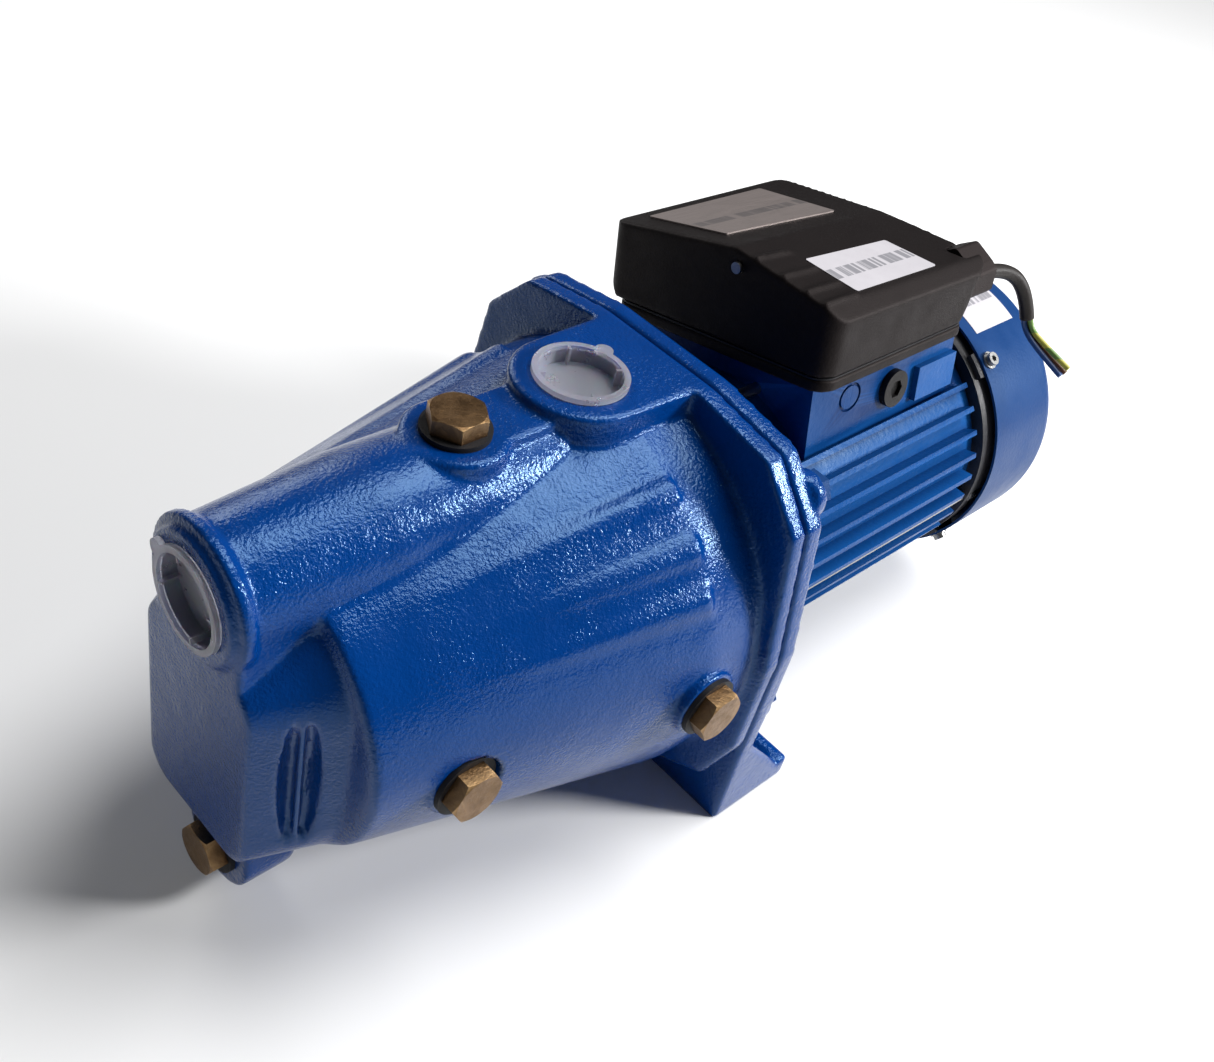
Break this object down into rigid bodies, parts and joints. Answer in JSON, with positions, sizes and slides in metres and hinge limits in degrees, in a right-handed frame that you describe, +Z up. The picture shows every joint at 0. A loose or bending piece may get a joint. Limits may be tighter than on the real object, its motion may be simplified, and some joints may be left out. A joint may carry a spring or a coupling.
{
  "type": "shallow well jet pump",
  "caption": "Close coupled self-priming jet pump: cast casing with suction and discharge ports, footed bracket, finned motor, fan cover and terminal box.",
  "frame": {"origin": "middle of the two foot holes, at the ground under the shaft axis", "axes": "+Z up, +X along the shaft from the pump towards the motor's fan, -Y towards the side with the two side plugs"},
  "size_m": [0.441, 0.1935, 0.2075],
  "materials": {
    "casting_paint": "deep blue gloss paint with a hammered texture over cast iron",
    "motor_paint": "smoother blue gloss paint over die-cast aluminium",
    "shield_black": "black paint over die-cast aluminium",
    "cover_paint": "blue semi-gloss paint on pressed sheet steel",
    "clear_cap": "milky translucent polyethylene",
    "plug_brass": "aged brass",
    "washer_rubber": "matt black rubber",
    "moulded_hydraulics": "glass filled moulding",
    "impeller_brass": "cast brass",
    "plated_steel": "bright zinc plating",
    "bright_steel": "ground steel",
    "seal_ceramic": "white ceramic",
    "seal_carbon": "carbon graphite",
    "lamination_steel": "stacked steel sheet",
    "winding_copper": "varnished copper wire",
    "black_plastic": "black moulding",
    "box_plastic": "fine grained black-brown moulding",
    "capacitor_can": "white can",
    "terminal_plastic": "off-white moulding",
    "plate_metal": "brushed plate",
    "sticker_white": "printed film",
    "cable_jacket": "dark grey-brown flexible sheath",
    "wire_brown": "insulation",
    "wire_blue": "insulation",
    "wire_earth": "insulation, two colours"
  },
  "bodies": {
    "pump": {"bearing_outer_rings": "bright_steel", "bearing_wave_spring": "bright_steel", "blanking_plug": "black_plastic", "box_gasket": "washer_rubber", "box_label": "sticker_white", "cable_gland": "box_plastic", "cable_jacket": "cable_jacket", "casing_o_ring": "washer_rubber", "cover_label": "sticker_white", "diffuser": "moulded_hydraulics", "ejector_nozzle": "moulded_hydraulics", "fan_cover": "cover_paint", "fan_cover_screws": "plated_steel", "flange_bolts": "cover_paint", "lid_screw": "plated_steel", "motor_bracket": "casting_paint", "motor_housing": "motor_paint", "nameplate": "plate_metal", "plug_washers": "washer_rubber", "pump_casing": "casting_paint", "rear_shield": "shield_black", "run_capacitor": "capacitor_can", "seal_stationary_seat": "seal_ceramic", "side_plugs": "plug_brass", "stator_core": "lamination_steel", "stator_windings": "winding_copper", "terminal_block": "terminal_plastic", "terminal_box_base": "box_plastic", "terminal_box_lid": "box_plastic", "tie_rods": "plated_steel", "venturi_tube": "moulded_hydraulics", "wire_blue": "wire_blue", "wire_brown": "wire_brown", "wire_earth": "wire_earth"},
    "rotor": {"shaft": "bright_steel", "rotor_core": "lamination_steel", "impeller": "impeller_brass", "impeller_nut": "plated_steel", "seal_rotating_ring": "seal_carbon", "seal_spring": "bright_steel", "bearing_inner_rings": "bright_steel", "bearing_balls": "bright_steel", "water_slinger": "washer_rubber", "fan": "black_plastic"},
    "suction_cap_body": {"suction_cap": "clear_cap"},
    "discharge_cap_body": {"discharge_cap": "clear_cap"},
    "priming_plug_body": {"priming_plug": "plug_brass"},
    "drain_plug_body": {"drain_plug": "plug_brass"}
  },
  "joints": [
    {"name": "rotor_spin", "type": "hinge", "parent": "pump", "child": "rotor", "pos_m": [-0.027, 0, 0.09], "axis": [1, 0, 0], "continuous": true},
    {"name": "suction_cap_pull", "type": "slide", "parent": "pump", "child": "suction_cap_body", "axis": [-1, 0, 0], "range_m": [0, 0.1]},
    {"name": "discharge_cap_pull", "type": "slide", "parent": "pump", "child": "discharge_cap_body", "axis": [0, 0, 1], "range_m": [0, 0.1]},
    {"name": "priming_plug_out", "type": "slide", "parent": "pump", "child": "priming_plug_body", "axis": [0, 0, 1], "range_m": [0, 0.05]},
    {"name": "drain_plug_out", "type": "slide", "parent": "pump", "child": "drain_plug_body", "axis": [-1, 0, 0], "range_m": [0, 0.05]}
  ]
}
